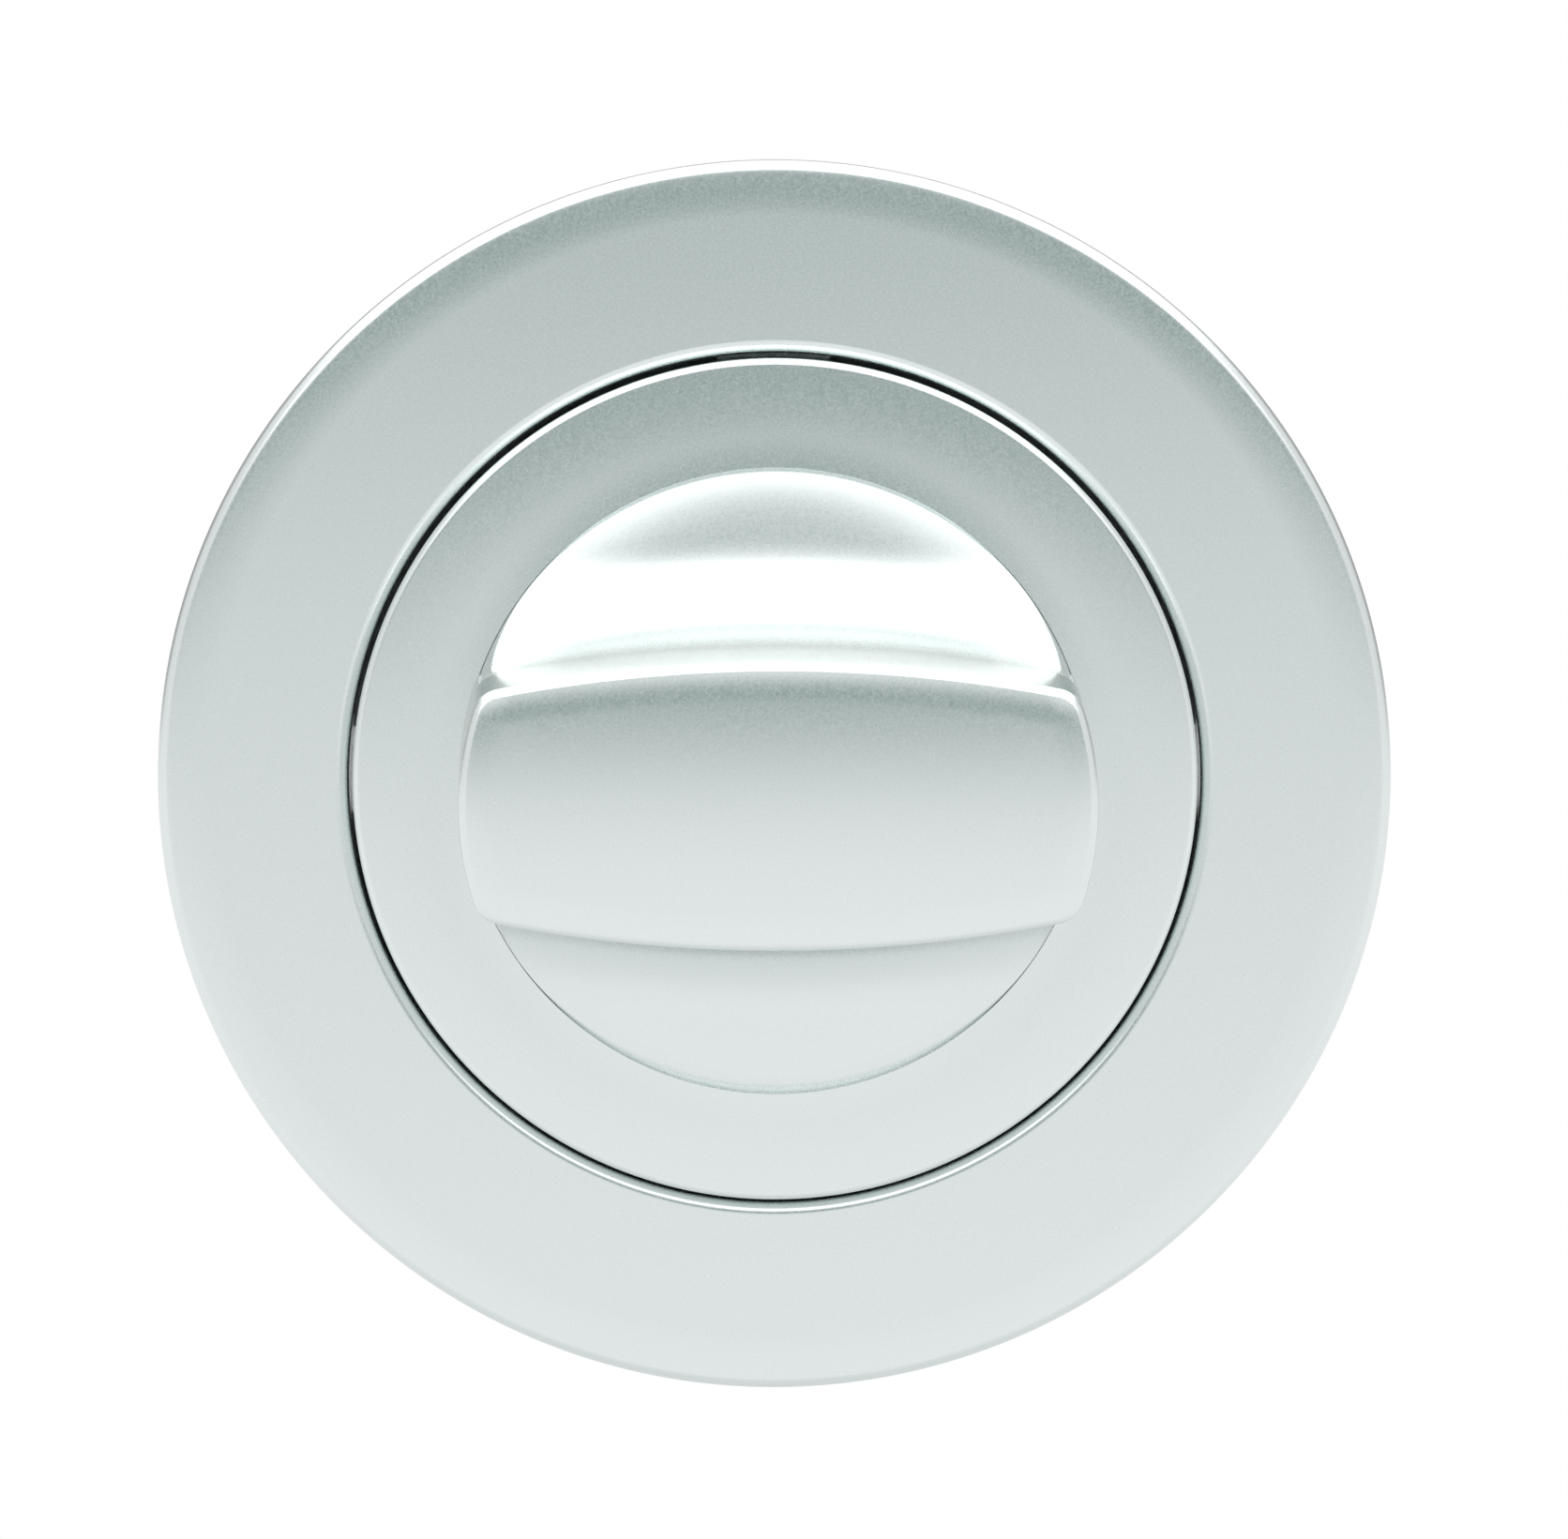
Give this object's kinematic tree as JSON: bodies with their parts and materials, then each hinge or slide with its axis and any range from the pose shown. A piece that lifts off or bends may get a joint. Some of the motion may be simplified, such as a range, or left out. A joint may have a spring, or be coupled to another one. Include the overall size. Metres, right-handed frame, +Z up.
{
  "type": "thumb turn and release",
  "caption": "Satin chrome thumb turn and coin release for a bathroom door, on round concealed-fix roses joined by a square spindle and through bolts.",
  "frame": {"origin": "on the spindle's axis, in the plane of the door face that the turn's plate lies on", "axes": "+X to the right as seen from the turn's side, +Y through the door from the turn to the release, +Z up"},
  "size_m": [0.052, 0.0688, 0.052],
  "materials": {
    "satin_chrome": "satin chrome plate on a zinc casting, fine even grain",
    "zinc_casting": "plain zinc alloy casting",
    "nylon": "natural nylon",
    "spring_steel": "phosphated spring steel",
    "plated_steel": "bright zinc plated steel",
    "black_steel": "black oxide steel"
  },
  "bodies": {
    "fixed_set": {"turn_rose": "satin_chrome", "turn_backplate": "zinc_casting", "turn_bush": "nylon", "turn_spring_washer": "spring_steel", "release_rose": "satin_chrome", "release_backplate": "zinc_casting", "release_bush": "nylon", "release_spring_washer": "spring_steel", "fixing_bolts": "plated_steel", "fixing_sleeves": "plated_steel"},
    "turning_set": {"turn_knob": "satin_chrome", "turn_shim_washer": "plated_steel", "turn_circlip": "spring_steel", "grub_screw": "black_steel", "spindle": "plated_steel", "release_disc": "satin_chrome", "release_shim_washer": "plated_steel", "release_circlip": "spring_steel"}
  },
  "joints": [
    {"name": "turn", "type": "hinge", "parent": "fixed_set", "child": "turning_set", "pos_m": [0, 0, 0], "axis": [0, -1, 0], "range_deg": [-90, 90]}
  ]
}
